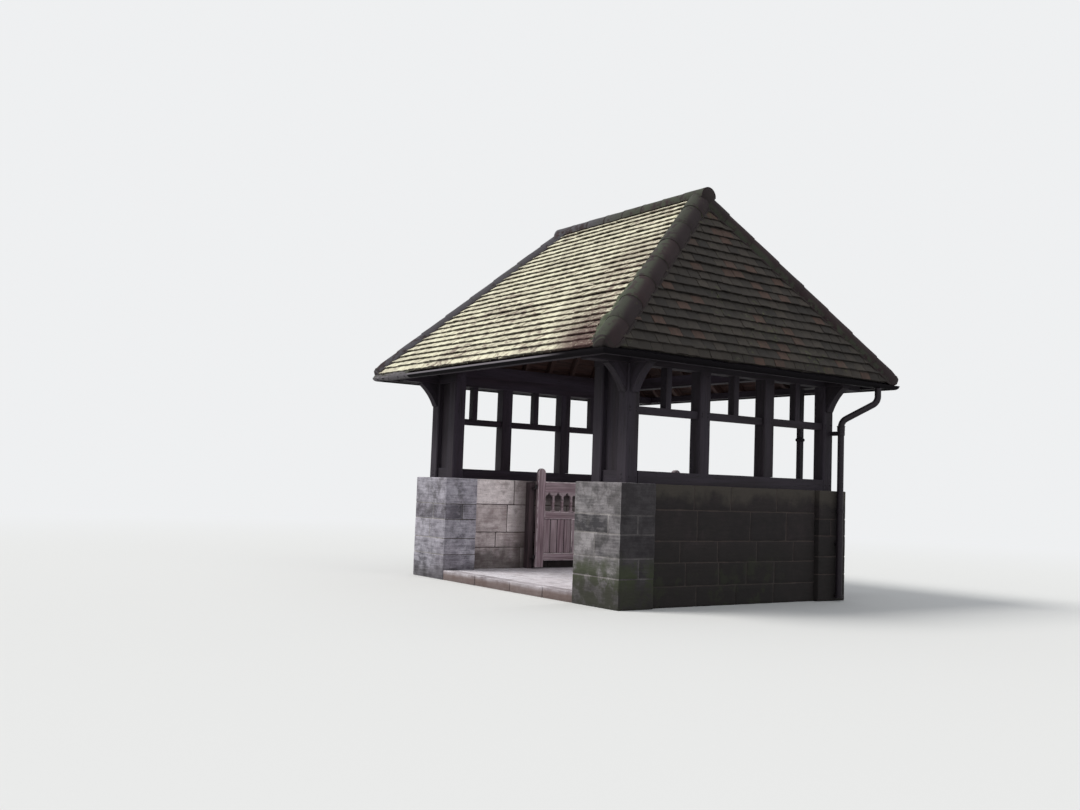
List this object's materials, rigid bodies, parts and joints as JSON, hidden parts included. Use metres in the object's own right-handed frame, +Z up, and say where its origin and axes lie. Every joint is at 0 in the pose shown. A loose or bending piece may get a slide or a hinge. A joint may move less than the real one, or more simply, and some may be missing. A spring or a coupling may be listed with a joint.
{
  "type": "lychgate",
  "caption": "Roofed gateway with stone piers and low side walls, an open oak frame, a hipped tiled roof and a pair of oak gate leaves.",
  "frame": {"origin": "on the ground at the middle of the building's plan", "axes": "+X across the passage to the right seen from the front, -Y out of the front, +Y out of the back, +Z up"},
  "size_m": [4.95, 4.64, 4.8498],
  "materials": {
    "stone": "weathered squared sandstone, lichen and algae low down",
    "paving": "worn stone flags",
    "frame_oak": "dark weathered oak",
    "roof_tile": "mossy plain clay tiles",
    "cover_tile": "half-round clay tiles with lichen",
    "rainwater_iron": "dull painted iron",
    "gate_oak": "weathered purple-brown oak",
    "gate_iron": "blackened wrought iron"
  },
  "bodies": {
    "structure": {"pier_front_left": "stone", "pier_front_right": "stone", "pier_back_left": "stone", "pier_back_right": "stone", "wall_left": "stone", "wall_right": "stone", "copings": "stone", "floor_slab": "paving", "sill_beams": "frame_oak", "pier_posts": "frame_oak", "back_uprights": "frame_oak", "side_posts": "frame_oak", "pier_rails": "frame_oak", "front_panels": "frame_oak", "transoms": "frame_oak", "mullions": "frame_oak", "wall_plates": "frame_oak", "head_rails": "frame_oak", "tie_beams": "frame_oak", "upper_plates": "frame_oak", "end_brackets": "frame_oak", "side_brackets": "frame_oak", "eaves_plates": "frame_oak", "eaves_plates_side": "frame_oak", "main_rafters": "frame_oak", "end_rafters": "frame_oak", "hip_rafters": "frame_oak", "ridge_beam": "frame_oak", "roof_front": "roof_tile", "roof_back": "roof_tile", "roof_left": "roof_tile", "roof_right": "roof_tile", "hip_tiles": "cover_tile", "ridge_tiles": "cover_tile", "gutters": "rainwater_iron", "downpipe": "rainwater_iron", "pipe_clips": "rainwater_iron", "gate_posts": "gate_oak", "gate_pins": "gate_iron"},
    "gate_left": {"gate_left_frame": "gate_oak", "gate_left_boards": "gate_oak", "gate_left_tracery": "gate_oak", "gate_left_straps": "gate_iron"},
    "gate_right": {"gate_right_frame": "gate_oak", "gate_right_boards": "gate_oak", "gate_right_tracery": "gate_oak", "gate_right_straps": "gate_iron"}
  },
  "joints": [
    {"name": "gate_left_hinge", "type": "hinge", "parent": "structure", "child": "gate_left", "pos_m": [-1.338, -0.362, 0.301], "axis": [0, 0, 1], "range_deg": [-90, 0]},
    {"name": "gate_right_hinge", "type": "hinge", "parent": "structure", "child": "gate_right", "pos_m": [1.338, -0.362, 0.301], "axis": [0, 0, 1], "range_deg": [0, 90]}
  ]
}
